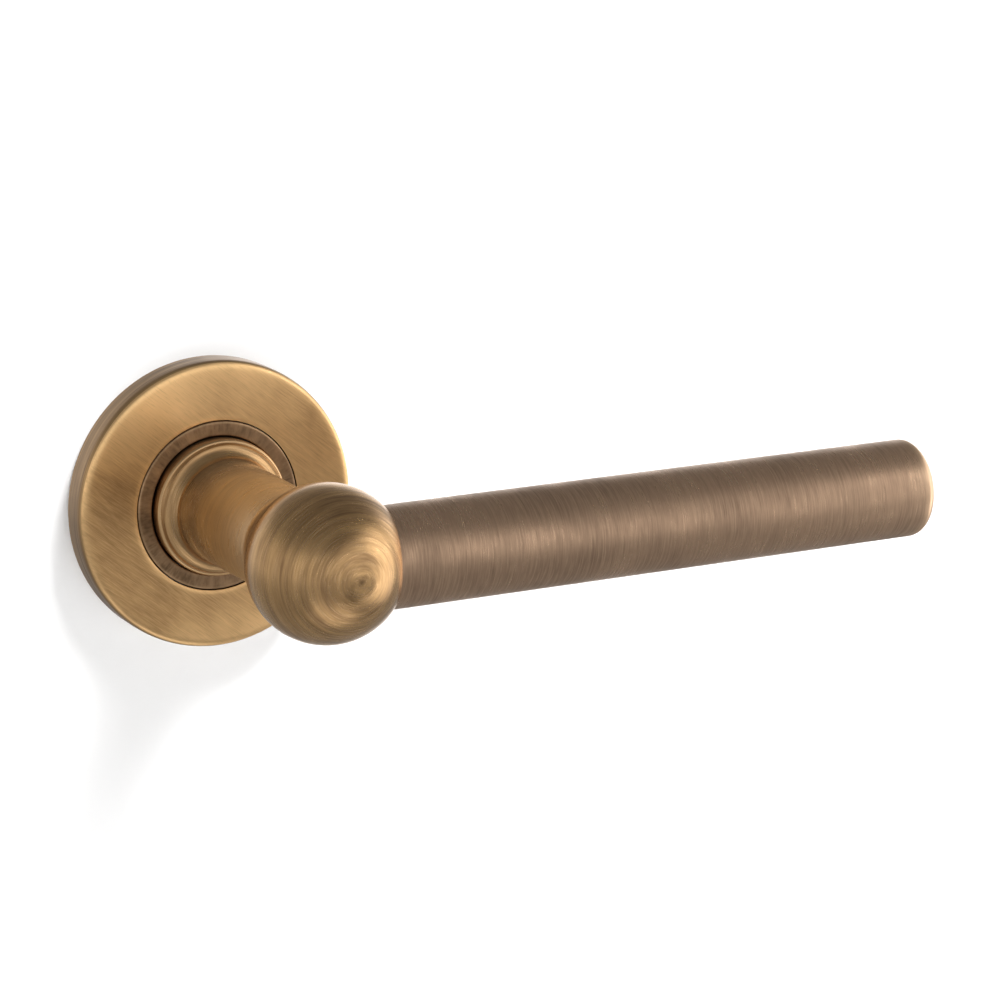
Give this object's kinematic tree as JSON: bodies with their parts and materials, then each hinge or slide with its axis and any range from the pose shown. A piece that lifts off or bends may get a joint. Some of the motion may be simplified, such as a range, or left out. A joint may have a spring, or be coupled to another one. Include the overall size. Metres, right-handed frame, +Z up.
{
  "type": "door lever handle",
  "caption": "Door lever handle: round grip bar set in a ball on a turned neck, on a thin round rose with a sprung plate, square spindle and door fixings.",
  "frame": {"origin": "on the spindle axis, in the plane of the door face", "axes": "+Y into the door along the spindle, -Y towards the user, +X along the lever, +Z up"},
  "size_m": [0.142, 0.1353, 0.052],
  "materials": {
    "rose_brass": "aged brass, straight-brushed across the face, lighter at the edges",
    "ring_brass": "dark aged brass, radial brush marks",
    "lever_brass": "aged brass, fine turned marks round the axis",
    "grip_brass": "aged brass, fine marks across the bar",
    "zinc_casting": "bare zinc die casting, dull grey",
    "acetal": "natural acetal",
    "spring_steel": "oiled spring steel",
    "plated_steel": "bright zinc plating"
  },
  "bodies": {
    "rose": {"rose_cover": "rose_brass", "bearing_ring": "ring_brass", "mounting_plate": "zinc_casting", "neck_bush": "acetal", "return_spring": "spring_steel", "spring_cap": "plated_steel", "cap_screw_1": "plated_steel", "cap_screw_2": "plated_steel", "cap_screw_3": "plated_steel", "through_bolt_1": "plated_steel", "through_bolt_2": "plated_steel", "wood_screw_1": "plated_steel", "wood_screw_2": "plated_steel"},
    "lever": {"lever_neck": "lever_brass", "grip_bar": "grip_brass", "joint_stud": "plated_steel", "spindle": "plated_steel", "spindle_grub_screw": "spring_steel", "spring_driver": "plated_steel", "wave_washer": "spring_steel", "thrust_washer": "acetal", "circlip": "spring_steel"}
  },
  "joints": [
    {"name": "lever_press", "type": "hinge", "parent": "rose", "child": "lever", "pos_m": [0, 0, 0], "axis": [0, 1, 0], "range_deg": [0, 45], "stiffness_Nm_per_rad": 0.9, "springref_deg": -28.65, "deforming": ["return_spring"]}
  ]
}
